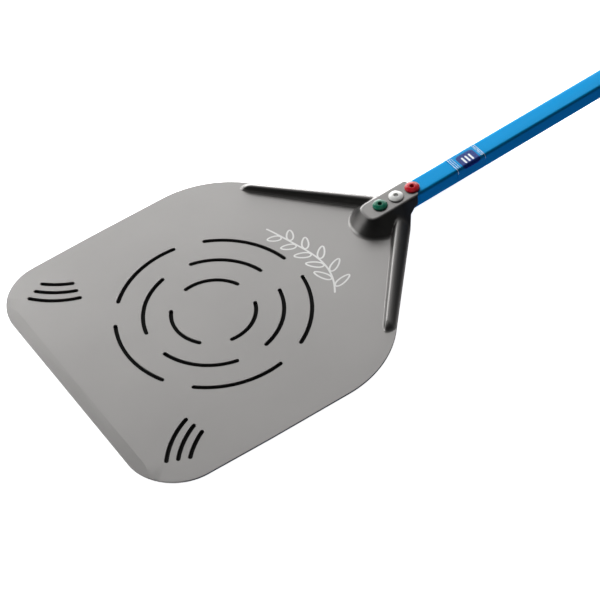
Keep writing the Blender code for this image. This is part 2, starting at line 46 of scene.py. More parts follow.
# ------------------------------------------------------------------ shape of the blade
SHEET = 2.0 * MM
LIP_Y = -166 * MM
LIP_THICKNESS = 0.9 * MM
LIP_BEVEL_LENGTH = 12 * MM
CORNER_RADIUS = 55 * MM
CORNER_CENTRE = (108.5 * MM, -111 * MM)
SIDE_X = 166 * MM
SHOULDER_RADIUS = 111.3 * MM
SHOULDER_Y = 45 * MM
BACK_ANGLE = radians(-42.85)
NECK_TRIM = 2.0 * MM
NECK_TRIM_RUN = 22 * MM
EDGE_BREAK = 0.28 * MM  # the broken edge round the sheet and its slots

SLOT_WIDTH = 4 * MM
SLOT_RINGS = (
    (97.1 * MM, 5, 54.0, 26.4),
    (69.6 * MM, 4, 45.0, 30.9),
    (42.0 * MM, 3, 30.0, 37.8),
)
VENT_RADIUS = 91.6 * MM
VENT_CENTRE = (183.9 * MM, -63.1 * MM)
VENT_STEP = (8.67 * MM, 6.70 * MM)
VENT_ANGLES = ((200.5, 232.7), (203.7, 229.5), (206.9, 226.3))

TUBE_WIDTH = 22 * MM
TUBE_HEIGHT = 18 * MM
TUBE_WALL = 1.5 * MM
TUBE_CORNER = 3.2 * MM
TUBE_TILT = radians(2.56)
TUBE_START_Y = 195 * MM
TUBE_END_Y = 850 * MM
TUBE_AXIS_Z = 1.05 * MM
GAP = 0.3 * MM

SOCKET_BEND = 2.8 * MM
SOCKET_FRONT_Y = 185 * MM
SOCKET_REAR_Y = 244.5 * MM
NOSE_CENTRE_Y = 199.5 * MM
NOSE_RADIUS = 28 * MM
WALL_X = 13.8 * MM
WALL_LEAN = 0.15 * MM
WALL_CUT = ((232.5 * MM, 1.5 * MM), (238 * MM, 9 * MM), (243.5 * MM, 11.5 * MM), (247 * MM, 12 * MM))
SOCKET_CORNER = 5 * MM
TONGUE_CENTRE_Y = 245 * MM
TONGUE_RADIUS = 7.9 * MM

RIB_LENGTH = 162.5 * MM
RIB_END_LENGTH = 11 * MM
RIB_FLANGE = 1.0 * MM
RIB_HEIGHT = (11.5 * MM, -0.033)
RIB_CREST = (12.6 * MM, -0.021)
RIB_FOOT = (19.4 * MM, -0.038)
FILLET = 2.0 * MM
PRESSED_FROM_Y = 90 * MM
CLOSEST = 0.25 * MM

RIVET_PLACES = ((0.0, 204.4 * MM), (0.8 * MM, 224.0 * MM), (1.3 * MM, 244.0 * MM))
RIVET_HEAD_RADIUS = 7.8 * MM
RIVET_HEAD_HEIGHT = 2.7 * MM
RIVET_SHANK_RADIUS = 3.2 * MM
RIVET_BORE_RADIUS = 2.0 * MM
RIVET_TAIL_RADIUS = 4.6 * MM
MANDREL_RADIUS = 1.7 * MM

LABEL_YS = (295 * MM, 332.5 * MM)
LABEL_THICKNESS = 0.15 * MM
LABEL_DROP = 15 * MM
CAP_FLANGE = 6 * MM
CAP_STEM = 24 * MM
CAP_STEM_CORNER = 1.4 * MM
EYE_RADIUS = 10 * MM
EYE_HOLE_RADIUS = 5.5 * MM
EYE_THICKNESS = 9 * MM
EYE_LENGTH = 30 * MM
EYE_EASE = 1.6 * MM

LEAF_ANGLE = radians(48)
LEAF_HALF_WIDTH = 4.1 * MM

BACK_ALONG = (cos(BACK_ANGLE), sin(BACK_ANGLE))
BACK_OUT = (-sin(BACK_ANGLE), cos(BACK_ANGLE))
SHOULDER_CENTRE = (SIDE_X - SHOULDER_RADIUS, SHOULDER_Y)
BACK_REACH = (
    SHOULDER_CENTRE[0] * BACK_OUT[0] + SHOULDER_CENTRE[1] * BACK_OUT[1] + SHOULDER_RADIUS
)
NECK_Y = (BACK_REACH - WALL_X * BACK_OUT[0]) / BACK_OUT[1]


def arc(centre, radius, start, end, steps):
    angles = [radians(start + (end - start) * i / steps) for i in range(steps + 1)]
    return [(centre[0] + radius * cos(a), centre[1] + radius * sin(a)) for a in angles]


def back_edge_inset(x, y):
    return BACK_REACH - np.abs(x) * BACK_OUT[0] - y * BACK_OUT[1]


def back_edge_run(x, y):
    return (np.abs(x) - WALL_X) * BACK_ALONG[0] + (y - NECK_Y) * BACK_ALONG[1]


def back_edge_point(run, inset):
    along = run + WALL_X * BACK_ALONG[0] + NECK_Y * BACK_ALONG[1]
    reach = BACK_REACH - inset
    x = reach * BACK_OUT[0] + along * BACK_ALONG[0]
    return (x, reach * BACK_OUT[1] + along * BACK_ALONG[1])


def right_outline():
    """The blade's edge from the middle of the lip round to the tip of the tongue."""
    out_angle = 90 + BACK_ANGLE * 180 / pi
    points = arc(CORNER_CENTRE, CORNER_RADIUS, -90, 0, 36)
    points += [(165.2 * MM, -45 * MM)]
    points += arc(SHOULDER_CENTRE, SHOULDER_RADIUS, 0, out_angle, 30)
    neck = (WALL_X, NECK_Y - NECK_TRIM)
    for corner, steps in ((back_edge_point(NECK_TRIM_RUN, 0), 60), (neck, 8)):
        start = Vector(points[-1])
        points += [tuple(start.lerp(Vector(corner), i / steps)) for i in range(1, steps + 1)]
    points += [(WALL_X, NECK_Y + (SOCKET_REAR_Y - NECK_Y) * t) for t in (0.5, 1)]
    bend_start = WALL_X - WALL_LEAN - SOCKET_BEND
    bend = [bend_start + SOCKET_BEND * sin(radians(a)) for a in (80, 65, 50, 35, 20)]
    inner_wall = WALL_X - SHEET
    section = sorted(bend + [inner_wall, inner_wall - WALL_LEAN, bend_start], reverse=True)
    points += [(x, SOCKET_REAR_Y) for x in section]
    points += arc((0, TONGUE_CENTRE_Y), TONGUE_RADIUS, 0, 90, 12)
    return points


def outline():
    right = right_outline()
    return right + [(-x, y) for x, y in reversed(right[:-1])]


def arc_slot(centre, radius, start, end):
    half = SLOT_WIDTH / 2
    steps = max(6, round(radians(end - start) * radius / (2.5 * MM)))
    loop = arc(centre, radius + half, start, end, steps)
    for angle, turn in ((end, 0), (start, 180)):
        tip = arc(centre, radius, angle, angle, 1)[0]
        loop += arc(tip, half, angle + turn, angle + turn + 180, 8)[1:-1]
        if turn == 0:
            loop += arc(centre, radius - half, end, start, steps)
    return loop


def slot_loops():
    loops = []
    for radius, count, first, half_angle in SLOT_RINGS:
        for i in range(count):
            middle = first + 360 * i / count
            loops.append(arc_slot((0, 0), radius, middle - half_angle, middle + half_angle))
    for i, (start, end) in enumerate(VENT_ANGLES):
        centre = (VENT_CENTRE[0] + i * VENT_STEP[0], VENT_CENTRE[1] + i * VENT_STEP[1])
        right = arc_slot(centre, VENT_RADIUS, start, end)
        loops.append(right)
        loops.append([(-x, y) for x, y in reversed(right)])
    return loops


def rivet_hole_loops():
    return [arc(place, RIVET_SHANK_RADIUS + GAP, 0, 350, 35) for place in RIVET_PLACES]


def smooth_max(a, b, blend):
    overlap = np.maximum(blend - np.abs(a - b), 0.0) / blend
    return np.maximum(a, b) + overlap * overlap * blend / 4


def tube_axis_z(y):
    return TUBE_AXIS_Z + y * tan(TUBE_TILT)


def socket_top_z(y):
    return tube_axis_z(y) + (TUBE_HEIGHT / 2 + GAP + SHEET) / cos(TUBE_TILT)


def bend_drop(distance, reach, depth):
    """Drop of a sheet past the start of its bend: an arc, then a straight slope."""
    centre_angle = np.arctan2(depth - SOCKET_BEND, reach)
    slope = centre_angle + np.arcsin(SOCKET_BEND / np.hypot(reach, depth - SOCKET_BEND))
    straight_from = SOCKET_BEND * np.sin(slope)
    inside = np.clip(distance, 0, straight_from)
    bent = SOCKET_BEND - np.sqrt(SOCKET_BEND**2 - inside**2)
    past = np.maximum(distance - straight_from, 0)
    return bent + past * np.tan(slope)


def flat_top_reach(side, ahead):
    length = np.hypot(side, ahead) + 1e-12
    half_width = WALL_X - WALL_LEAN - SOCKET_BEND
    front = NOSE_CENTRE_Y - SOCKET_FRONT_Y - SOCKET_BEND / 2
    return ((side / length / half_width) ** 4 + (ahead / length / front) ** 4) ** -0.25


def wall_foot_x(y):
    edge_x = (BACK_REACH - y * BACK_OUT[1]) / BACK_OUT[0]
    return np.maximum(np.minimum(NOSE_RADIUS, edge_x - RIB_FLANGE), WALL_X)


def socket_height(x, y):
    across = np.abs(x)
    ahead = np.maximum(NOSE_CENTRE_Y - y, 0)
    in_nose = y < NOSE_CENTRE_Y
    distance = np.hypot(across, ahead)
    inner = np.where(in_nose, flat_top_reach(across + 1e-9, ahead), flat_top_reach(1.0, 0.0))
    outer = np.where(in_nose, NOSE_RADIUS, wall_foot_x(y))
    depth = socket_top_z(y) - SHEET
    return depth - bend_drop(distance - inner, outer - inner, depth)


def rib_height(x, y):
    run = back_edge_run(x, y)
    inset = back_edge_inset(x, y)
    height, crest, foot = (a + b * run for a, b in (RIB_HEIGHT, RIB_CREST, RIB_FOOT))
    outer = (np.maximum(crest - inset, 0) / (crest - RIB_FLANGE)) ** 1.5
    inner = (np.maximum(inset - crest, 0) / (foot - crest)) ** 2.5
    past = np.maximum(run - (RIB_LENGTH - RIB_END_LENGTH), 0) / RIB_END_LENGTH
    return height * (1 - np.where(inset < crest, outer, inner) - past**2.2)


def pressed_height(x, y):
    raised = smooth_max(socket_height(x, y), rib_height(x, y), 3 * MM)
    lifted = smooth_max(raised, 0.0, FILLET)
    return np.where((y < PRESSED_FROM_Y) | (raised < -FILLET), 0.0, lifted)


def top_z(x, y):
    bevel = np.maximum(LIP_Y + LIP_BEVEL_LENGTH - y, 0) / LIP_BEVEL_LENGTH
    return SHEET + pressed_height(x, y) - bevel * (SHEET - LIP_THICKNESS)


def underside_z(x, y):
    lowest = pressed_height(x, y)
    pressed = y > PRESSED_FROM_Y
    px, py = x[pressed], y[pressed]
    low = lowest[pressed]
    for radius in (0.45, 0.75, 0.93, 1.0):
        rise = SHEET * (1 - (1 - radius**2) ** 0.5)
        for dx, dy in arc((0, 0), radius * SHEET, 0, 330, 11):
            low = np.minimum(low, pressed_height(px + dx, py + dy) + rise)
    lowest[pressed] = low
    return lowest


def slopes(x, y):
    step = 0.05 * MM
    along_x = (top_z(x + step, y) - top_z(x - step, y)) / (2 * step)
    along_y = (top_z(x, y + step) - top_z(x, y - step)) / (2 * step)
    return along_x, along_y


def top_normals(x, y):
    along_x, along_y = slopes(x, y)
    normals = np.stack([-along_x, -along_y, np.ones_like(along_x)], axis=1)
    return normals / np.linalg.norm(normals, axis=1)[:, None]


# ------------------------------------------------------------------ dividing the sheet

def rib_lines():
    end = RIB_LENGTH - RIB_END_LENGTH
    runs = [3 * MM + (end - 3 * MM) * i / 60 for i in range(61)]
    runs += [end + RIB_END_LENGTH * (i + 1) / 16 for i in range(20)]
    lines = []
    across = (-1.06, -1, -0.9, -0.78, -0.62, -0.46, -0.3, -0.15, 0, 0.13, 0.26, 0.38, 0.5,
              0.61, 0.71, 0.8, 0.88, 0.95, 1.01, 1.08, 1.17, 1.3)
    for t in across:
        line = []
        for run in runs:
            crest = RIB_CREST[0] + RIB_CREST[1] * run
            foot = RIB_FOOT[0] + RIB_FOOT[1] * run
            width = crest - RIB_FLANGE if t < 0 else foot - crest
            line.append(back_edge_point(run, crest + t * width))
        lines.append(line)
    return lines


def socket_lines():
    bends = [SOCKET_BEND * sin(radians(a)) for a in (0, 12, 24, 36, 48, 62)]
    shares = (0.2, 0.32, 0.44, 0.56, 0.68, 0.78, 0.86, 0.92, 0.97, 1.02, 1.08, 1.16)
    places = [(-1.5 * MM, 0)] + [(bend, 0) for bend in bends] + [(0, t) for t in shares]
    turns, rows = 26, 26
    lines = []
    for bend, share in places:
        line = []
        for i in range(turns):
            angle = radians(-90 + 90 * i / turns)
            inner = float(flat_top_reach(cos(angle), sin(angle)))
            reach = inner + bend + share * (NOSE_RADIUS - inner)
            line.append((reach * cos(angle), NOSE_CENTRE_Y + reach * sin(angle)))
        for i in range(rows + 1):
            y = NOSE_CENTRE_Y + (SOCKET_REAR_Y - 1.2 * CLOSEST - NOSE_CENTRE_Y) * i / rows
            inner = float(flat_top_reach(1.0, 0.0))
            line.append((inner + bend + share * (float(wall_foot_x(y)) - inner), y))
        lines.append(line)
    return lines


def in_outline(xy):
    x, y = np.abs(xy[:, 0]), xy[:, 1]
    trimmed = NECK_TRIM * BACK_OUT[1] * np.maximum(1 - back_edge_run(x, y) / NECK_TRIM_RUN, 0)
    ahead = back_edge_inset(x, y) > trimmed + EDGE_BREAK + CLOSEST
    behind = (x < WALL_X - CLOSEST) & (y < SOCKET_REAR_Y - 0.1 * MM)
    return np.where(y > NECK_Y - NECK_TRIM, behind, ahead)


def nearest_hole(xy, holes):
    """Distance from each point to the nearest point of the hole loops."""
    near = np.full(len(xy), 1.0)
    for hole in holes:
        loop = np.array(hole)
        away = np.hypot(xy[:, None, 0] - loop[None, :, 0], xy[:, None, 1] - loop[None, :, 1])
        near = np.minimum(near, away.min(axis=1))
    return near


def split_line(line, wanted):
    """The stretches of a line that are wanted at every point and between the points."""
    xy = np.array(line)
    good = wanted(xy)
    between = np.ones(len(xy) - 1, bool)
    for t in (0.25, 0.5, 0.75):
        between &= wanted(xy[:-1] + t * (xy[1:] - xy[:-1]))
    stretches = [[]]
    for i, point in enumerate(line):
        if not good[i]:
            stretches.append([])
            continue
        if stretches[-1] and not between[i - 1]:
            stretches.append([])
        stretches[-1].append(tuple(point))
    return [stretch for stretch in stretches if stretch]


def mirrored(lines):
    both = []
    for line in lines:
        image = [(-x, y) for x, y in line]
        if abs(line[0][0]) < CLOSEST:
            both.append(image[:0:-1] + line)
        else:
            both += [line, image]
    return both


def inside_loop(points, loop):
    """For each point, whether it is inside the closed loop."""
    inside = np.zeros(len(points), bool)
    px, py = points[:, 0], points[:, 1]
    for (x1, y1), (x2, y2) in zip(loop, loop[1:] + loop[:1]):
        if y1 == y2:
            continue
        crosses = ((y1 > py) != (y2 > py)) & (px < x1 + (py - y1) * (x2 - x1) / (y2 - y1))
        inside ^= crosses
    return inside


def signed_area(xy):
    return 0.5 * np.sum(xy[:, 0] * np.roll(xy[:, 1], -1) - np.roll(xy[:, 0], -1) * xy[:, 1])


def moved_in(loop, is_hole):
    """A loop moved by EDGE_BREAK into the sheet's metal, square to itself, but not at the neck."""
    xy = np.array(loop)
    clockwise = signed_area(xy) < 0
    if clockwise:
        xy = xy[::-1]
    ahead = np.roll(xy, -1, axis=0) - xy
    ahead /= np.linalg.norm(ahead, axis=1)[:, None]
    tangent = ahead + np.roll(ahead, 1, axis=0)
    tangent /= np.linalg.norm(tangent, axis=1)[:, None]
    inward = np.stack([-tangent[:, 1], tangent[:, 0]], axis=1)
    at_neck = (xy[:, 1] > NECK_Y - 6 * MM) & (np.abs(xy[:, 0]) < 30 * MM)
    size = np.where(at_neck, 0.0, -EDGE_BREAK if is_hole else EDGE_BREAK)
    moved = xy + inward * size[:, None]
    return [tuple(point) for point in (moved[::-1] if clockwise else moved)]


def lift_surface(bm, loops, lines, height, flip):
    points, edges, ring_ids = [], [], []
    for chain in loops + lines:
        ids = [len(points) + i for i in range(len(chain))]
        points += [Vector(p) for p in chain]
        edges += list(zip(ids, ids[1:]))
        if len(ring_ids) < len(loops):
            edges.append((ids[-1], ids[0]))
            ring_ids.append(ids)
    flat, _, faces, sources, _, _ = delaunay_2d_cdt(points, edges, [ring_ids[0]], 1, 1e-8)
    xy = np.array([tuple(p) for p in flat])
    z = height(xy[:, 0], xy[:, 1])
    vertices = [bm.verts.new((x, y, h)) for (x, y), h in zip(xy, z)]
    middles = np.array([xy[list(face)].mean(axis=0) for face in faces])
    in_hole = np.zeros(len(faces), bool)
    for hole in loops[1:]:
        in_hole |= inside_loop(middles, hole)
    for face, skip in zip(faces, in_hole):
        if not skip:
            corners = [vertices[i] for i in face]
            bm.faces.new(corners[::-1] if flip else corners)
    placed = {source: i for i, group in enumerate(sources) for source in group}
    return [[vertices[placed[n]] for n in ids] for ids in ring_ids]


def blade_mesh():
    slots, rivet_holes = slot_loops(), rivet_hole_loops()
    loops = [outline()] + slots + rivet_holes
    face_loops = [moved_in(loops[0], False)] + [moved_in(slot, True) for slot in slots]
    face_loops += rivet_holes
    outer_ring = slots[:SLOT_RINGS[0][1]]

    def on_sheet(xy):
        clear = nearest_hole(xy, rivet_holes + outer_ring) > CLOSEST + EDGE_BREAK
        return in_outline(xy) & clear

    def on_rib(xy):
        higher = rib_height(xy[:, 0], xy[:, 1]) > socket_height(xy[:, 0], xy[:, 1])
        return on_sheet(xy) & higher

    def on_socket(xy):
        higher = rib_height(xy[:, 0], xy[:, 1]) < socket_height(xy[:, 0], xy[:, 1]) + FILLET
        return on_sheet(xy) & higher

    top_lines, under_lines = [], []
    for lines, wanted in ((rib_lines(), on_rib), (socket_lines(), on_socket)):
        for line in lines:
            for stretch in split_line(line, wanted):
                top_lines.append(stretch)
                xy = np.array(stretch)
                below = xy - SHEET * top_normals(xy[:, 0], xy[:, 1])[:, :2]
                under_lines += split_line([tuple(p) for p in below], on_sheet)
    wall_ys = [NECK_Y + (SOCKET_REAR_Y - NECK_Y) * t for t in (-0.3, 0.2, 0.6, 0.92)]
    for lean in (-WALL_LEAN, WALL_LEAN):
        under_lines.append([(WALL_X - SHEET + lean, y) for y in wall_ys])

    bm = bmesh.new()
    bevel_line = [(15 * MM * i, LIP_Y + LIP_BEVEL_LENGTH) for i in range(-8, 9)]
    top_rings = lift_surface(bm, face_loops, mirrored(top_lines) + [bevel_line], top_z, False)
    under_rings = lift_surface(bm, face_loops, mirrored(under_lines), underside_z, True)
    for loop, face_loop, top, below in zip(loops, face_loops, top_rings, under_rings):
        rings = [top, below]
        if face_loop is not loop:
            rings = [top, edge_ring(bm, loop, top, -EDGE_BREAK),
                     edge_ring(bm, loop, below, EDGE_BREAK), below]
        for upper, lower in zip(rings, rings[1:]):
            join_rings(bm, upper, lower)
    loose = [v for v in bm.verts if not v.link_faces]
    bmesh.ops.delete(bm, geom=loose, context="VERTS")
    bmesh.ops.recalc_face_normals(bm, faces=bm.faces)
    mesh = bpy.data.meshes.new("peel_blade")
    bm.to_mesh(mesh)
    bm.free()
    return mesh


def edge_ring(bm, loop, ring, shift):
    """The outer ring of a broken edge. Where the face's own ring isn't moved in, it is reused."""
    vertices = []
    for (x, y), inner in zip(loop, ring):
        if hypot(x - inner.co.x, y - inner.co.y) < 1e-7:
            vertices.append(inner)
        else:
            vertices.append(bm.verts.new((x, y, inner.co.z + shift)))
    return vertices


def join_rings(bm, upper, lower):
    count = len(upper)
    for i in range(count):
        j = (i + 1) % count
        corners = []
        for vertex in (upper[i], upper[j], lower[j], lower[i]):
            if vertex not in corners:
                corners.append(vertex)
        if len(corners) > 2:
            bm.faces.new(corners)


# ------------------------------------------------------------------------ node materials

def new_material(name):
    material = bpy.data.materials.new(name)
    material.use_nodes = True
    return material, material.node_tree, material.node_tree.nodes["Principled BSDF"]


def object_coordinates(tree, scale):
    place = tree.nodes.new("ShaderNodeTexCoord")
    mapping = tree.nodes.new("ShaderNodeMapping")
    mapping.inputs["Scale"].default_value = scale
    tree.links.new(place.outputs["Object"], mapping.inputs["Vector"])
    return mapping.outputs["Vector"]


def noise(tree, scale, detail, stretch=(1, 1, 1)):
    texture = tree.nodes.new("ShaderNodeTexNoise")
    texture.inputs["Scale"].default_value = scale
    texture.inputs["Detail"].default_value = detail
    tree.links.new(object_coordinates(tree, stretch), texture.inputs["Vector"])
    return texture.outputs["Fac"]


def mapped(tree, value, low, high, from_low=0.3, from_high=0.7):
    ramp = tree.nodes.new("ShaderNodeMapRange")
    ramp.inputs["From Min"].default_value = from_low
    ramp.inputs["From Max"].default_value = from_high
    ramp.inputs["To Min"].default_value = low
    ramp.inputs["To Max"].default_value = high
    tree.links.new(value, ramp.inputs["Value"])
    return ramp.outputs["Result"]


def mixed_colours(tree, factor, first, second):
    mix = tree.nodes.new("ShaderNodeMix")
    mix.data_type = "RGBA"
    mix.inputs["A"].default_value = (*first, 1)
    mix.inputs["B"].default_value = (*second, 1)
    tree.links.new(factor, mix.inputs["Factor"])
    return mix.outputs["Result"]


def blended(tree, factor, first, second):
    """One colour from the nodes blended toward a fixed one."""
    mix = tree.nodes.new("ShaderNodeMix")
    mix.data_type = "RGBA"
    mix.inputs["B"].default_value = (*second, 1)
    tree.links.new(first, mix.inputs["A"])
    tree.links.new(factor, mix.inputs["Factor"])
    return mix.outputs["Result"]


def part_of(tree, vector, axis):
    split = tree.nodes.new("ShaderNodeSeparateXYZ")
    tree.links.new(vector, split.inputs["Vector"])
    return split.outputs[axis]


def arithmetic(tree, operation, *values):
    node = tree.nodes.new("ShaderNodeMath")
    node.operation = operation
    for socket, value in zip(node.inputs, values):
        tree.links.new(value, socket)
    return node.outputs["Value"]


def bump(tree, shader, height, strength, distance):
    node = tree.nodes.new("ShaderNodeBump")
    node.inputs["Strength"].default_value = strength
    node.inputs["Distance"].default_value = distance
    tree.links.new(height, node.inputs["Height"])
    tree.links.new(node.outputs["Normal"], shader.inputs["Normal"])


def surface(name, colours, roughness, metallic, grain, coat=0.0, specular=0.5):
    """A finish whose colour and roughness wander a little, with a fine grain.

    grain is the grain's noise scale, bump strength and bump distance.
    """
    material, tree, shader = new_material(name)
    cloud = noise(tree, 14, 3.0)
    tree.links.new(mixed_colours(tree, mapped(tree, cloud, 0, 1), *colours),
                   shader.inputs["Base Color"])
    scale, strength, distance = grain
    fine = noise(tree, scale, 3.0)
    tree.links.new(mapped(tree, fine, *roughness), shader.inputs["Roughness"])
    bump(tree, shader, fine, strength, distance)
    shader.inputs["Metallic"].default_value = metallic
    shader.inputs["Coat Weight"].default_value = coat
    shader.inputs["Coat Roughness"].default_value = 0.08
    shader.inputs["Specular IOR Level"].default_value = specular
    return material


def aluminium():
    """Satin anodised sheet: fine grain, soft patches, stray scratches, a darker tone on the raised
    socket top, and painted shade on its steep pressed walls.
    """
    material, tree, shader = new_material("satin_aluminium_look")
    cloud = mapped(tree, noise(tree, 9, 4.0), 0, 1, 0.35, 0.65)
    flat = mixed_colours(tree, cloud, (0.385, 0.376, 0.369), (0.405, 0.396, 0.388))
    height = part_of(tree, object_coordinates(tree, (1, 1, 1)), "Z")
    raised = blended(tree, mapped(tree, height, 0, 1, 7 * MM, 13 * MM), flat, (0.34, 0.332, 0.325))
    facing = tree.nodes.new("ShaderNodeTexCoord").outputs["Normal"]
    level = arithmetic(tree, "ABSOLUTE", part_of(tree, facing, "Z"))
    # Painted shade: steep walls of the pressing are coloured near black, standing in for the dark
    # surroundings they mirror.
    steep_wall_shade_mask = arithmetic(tree, "MULTIPLY", mapped(tree, level, 1, 0, 0.55, 0.93),
                       mapped(tree, height, 0, 1, 2.2 * MM, 5 * MM))
    painted_wall_shade = blended(tree, steep_wall_shade_mask, raised, (0.12, 0.117, 0.114))
    tree.links.new(painted_wall_shade, shader.inputs["Base Color"])
    fine = noise(tree, 420, 3.0, (6, 0.35, 6))
    scratch = mapped(tree, noise(tree, 60, 1.0, (0.25, 9, 1)), 0, 0.05, 0.72, 0.78)
    rough = arithmetic(tree, "ADD", scratch, mapped(tree, fine, 0.30, 0.36))
    tree.links.new(rough, shader.inputs["Roughness"])
    shader.inputs["Metallic"].default_value = 0.78
    bump(tree, shader, fine, 0.10, 0.02 * MM)
    return material


ALUMINIUM = aluminium()
ETCHED = surface("etched_aluminium_look", ((0.68, 0.68, 0.67), (0.80, 0.80, 0.79)),
                 (0.6, 0.7), 0.1, grain=(1400, 0.2, 0.02 * MM))
BLUE = surface("blue_anodised_look", ((0.001, 0.31, 0.70), (0.002, 0.33, 0.74)),
               (0.30, 0.38), 0.45, grain=(700, 0.05, 0.01 * MM), coat=0.28, specular=0.06)
GREEN = surface("green_enamel_look", ((0.002, 0.110, 0.062), (0.004, 0.135, 0.078)),
                (0.22, 0.30), 0.0, grain=(300, 0.04, 0.03 * MM), coat=0.7, specular=0.1)
WHITE = surface("white_enamel_look", ((0.70, 0.70, 0.68), (0.75, 0.75, 0.73)),
                (0.18, 0.26), 0.0, grain=(300, 0.04, 0.03 * MM), coat=0.8)
RED = surface("red_enamel_look", ((0.42, 0.003, 0.012), (0.50, 0.006, 0.018)),
              (0.22, 0.30), 0.0, grain=(300, 0.04, 0.03 * MM), coat=0.7, specular=0.1)
STEEL = surface("mandrel_steel_look", ((0.42, 0.42, 0.42), (0.5, 0.5, 0.5)),
                (0.3, 0.42), 0.7, grain=(1500, 0.3, 0.04 * MM))
BLACK = surface("black_polymer_look", ((0.012, 0.012, 0.013), (0.02, 0.02, 0.021)),
                (0.45, 0.6), 0.0, grain=(1200, 0.35, 0.06 * MM))
FILM = surface("label_film_look", ((0.005, 0.31, 0.70), (0.008, 0.33, 0.74)),
               (0.22, 0.28), 0.42, grain=(500, 0.03, 0.01 * MM), coat=0.5, specular=0.1)
PANEL = surface("label_panel_look", ((0.003, 0.025, 0.20), (0.005, 0.035, 0.25)),
                (0.25, 0.32), 0.0, grain=(900, 0.03, 0.01 * MM), coat=0.4)
PALE = surface("label_pale_look", ((0.80, 0.86, 0.92), (0.86, 0.90, 0.95)),
               (0.3, 0.4), 0.0, grain=(900, 0.03, 0.01 * MM), coat=0.3)


# ----------------------------------------------------------------------------- pieces

def add_piece(name, mesh, material, replaces=(), smooth_angle=30):
    mesh.materials.clear()
    mesh.materials.append(material)
    mesh.shade_smooth()
    mesh.set_sharp_from_angle(angle=radians(smooth_angle))
    piece = bpy.data.objects.new(name, mesh)
    bpy.context.scene.collection.objects.link(piece)
    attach(piece, "root")
    if replaces:
        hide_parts(*replaces)


def mesh_from(name, bm):
    bmesh.ops.recalc_face_normals(bm, faces=bm.faces)
    mesh = bpy.data.meshes.new(name)
    bm.to_mesh(mesh)
    bm.free()
    return mesh


def block(section, low, high):
    """(y, z) points pushed across from x = low to high."""
    bm = bmesh.new()
    face = bm.faces.new([bm.verts.new((low, y, z)) for y, z in section])
    pushed = bmesh.ops.extrude_face_region(bm, geom=[face], use_keep_orig=True)
    moved = [g for g in pushed["geom"] if isinstance(g, bmesh.types.BMVert)]
    bmesh.ops.translate(bm, verts=moved, vec=(high - low, 0, 0))
    return mesh_from("block", bm)


def cut(mesh, cutter_meshes, operation="DIFFERENCE"):
    """The mesh after a Boolean with each of the other meshes."""
    working = bpy.data.objects.new("working", mesh)
    bpy.context.scene.collection.objects.link(working)
    cutters = []
    for cutter_mesh in cutter_meshes:
        cutter = bpy.data.objects.new("cutter", cutter_mesh)
        bpy.context.scene.collection.objects.link(cutter)
        modifier = working.modifiers.new("cut", "BOOLEAN")
        modifier.object = cutter
        modifier.operation = operation
        modifier.solver = "EXACT"
        cutters.append(cutter)
    bpy.context.view_layer.update()
    evaluated = working.evaluated_get(bpy.context.evaluated_depsgraph_get())
    result = bpy.data.meshes.new_from_object(evaluated)
    for thing in [working, *cutters]:
        bpy.data.objects.remove(thing)
    result.name = mesh.name
    return result


def corner_block(side):
    """What is taken off the rear corner of the socket's top to round it."""
    radius = SOCKET_CORNER
    inner, outer = WALL_X - radius, WALL_X + 1 * MM
    plan = arc((inner, SOCKET_REAR_Y - radius), radius, 0, 90, 8)
    plan += [(inner, SOCKET_REAR_Y + 1 * MM), (outer, SOCKET_REAR_Y + 1 * MM)]
    plan += [(outer, SOCKET_REAR_Y - radius)]
    bm = bmesh.new()
    heights = (11 * MM, 40 * MM)  # from below the tube's top to above the socket
    rings = [[bm.verts.new((side * x, y, z)) for x, y in plan] for z in heights]
    join_rings(bm, *rings)
    for ring in rings:
        bm.faces.new(ring)
    return mesh_from("corner", bm)


def follow_top_face(mesh):
    """Shades the corners on the sheet's top face by the surface that it was sampled from."""
    places = np.empty(len(mesh.vertices) * 3)
    mesh.vertices.foreach_get("co", places)
    places = places.reshape(-1, 3)
    on_top = np.abs(places[:, 2] - top_z(places[:, 0], places[:, 1])) < 0.03 * MM
    owners = np.empty(len(mesh.loops), int)
    for face in mesh.polygons:
        owners[list(face.loop_indices)] = face.index
    facing = np.array([tuple(face.normal) for face in mesh.polygons])[owners]
    centres = np.array([tuple(face.center) for face in mesh.polygons])[owners]
    vertex_ids = np.array([corner.vertex_index for corner in mesh.loops])
    toward = centres - places[vertex_ids]
    reach = np.linalg.norm(toward[:, :2], axis=1)[:, None] + 1e-9
    sample = places[vertex_ids] + toward * np.minimum(0.15 * MM / reach, 0.3)
    exact = top_normals(sample[:, 0], sample[:, 1])
    good = on_top[vertex_ids] & ((exact * facing).sum(axis=1) > 0.8) & (facing[:, 2] > -0.02)
    normals = np.where(good[:, None], exact, 0.0)
    mesh.normals_split_custom_set([tuple(n) for n in normals])


def build_blade():
    below = -2 * MM
    section = list(WALL_CUT) + [(WALL_CUT[-1][0], below), (WALL_CUT[0][0], below)]
    mesh = cut(blade_mesh(), [block(section, -2 * WALL_X, 2 * WALL_X),
                              corner_block(1), corner_block(-1)])
    add_piece("peel_blade", mesh, ALUMINIUM, ["blade"], 35)
    follow_top_face(mesh)


def handle_matrix():
    place = Matrix.Translation((0, TUBE_START_Y, tube_axis_z(TUBE_START_Y)))
    return place @ Matrix.Rotation(TUBE_TILT, 4, "X")


HANDLE = handle_matrix()
TUBE_LENGTH = (TUBE_END_Y - TUBE_START_Y) / cos(TUBE_TILT)


def along_tube(y, above_axis=0.0):
    return (y - TUBE_START_Y + above_axis * sin(TUBE_TILT)) / cos(TUBE_TILT)


def rivet_station(y):
    return along_tube(y, TUBE_HEIGHT / 2 + GAP + SHEET)


def rounded_section(shrink, corner, steps=10):
    across = TUBE_WIDTH / 2 - shrink - corner
    up = TUBE_HEIGHT / 2 - shrink - corner
    loop = []
    for i, (sx, sz) in enumerate(((1, 1), (-1, 1), (-1, -1), (1, -1))):
        loop += arc((sx * across, sz * up), corner, 90 * i, 90 * i + 90, steps)
    return loop


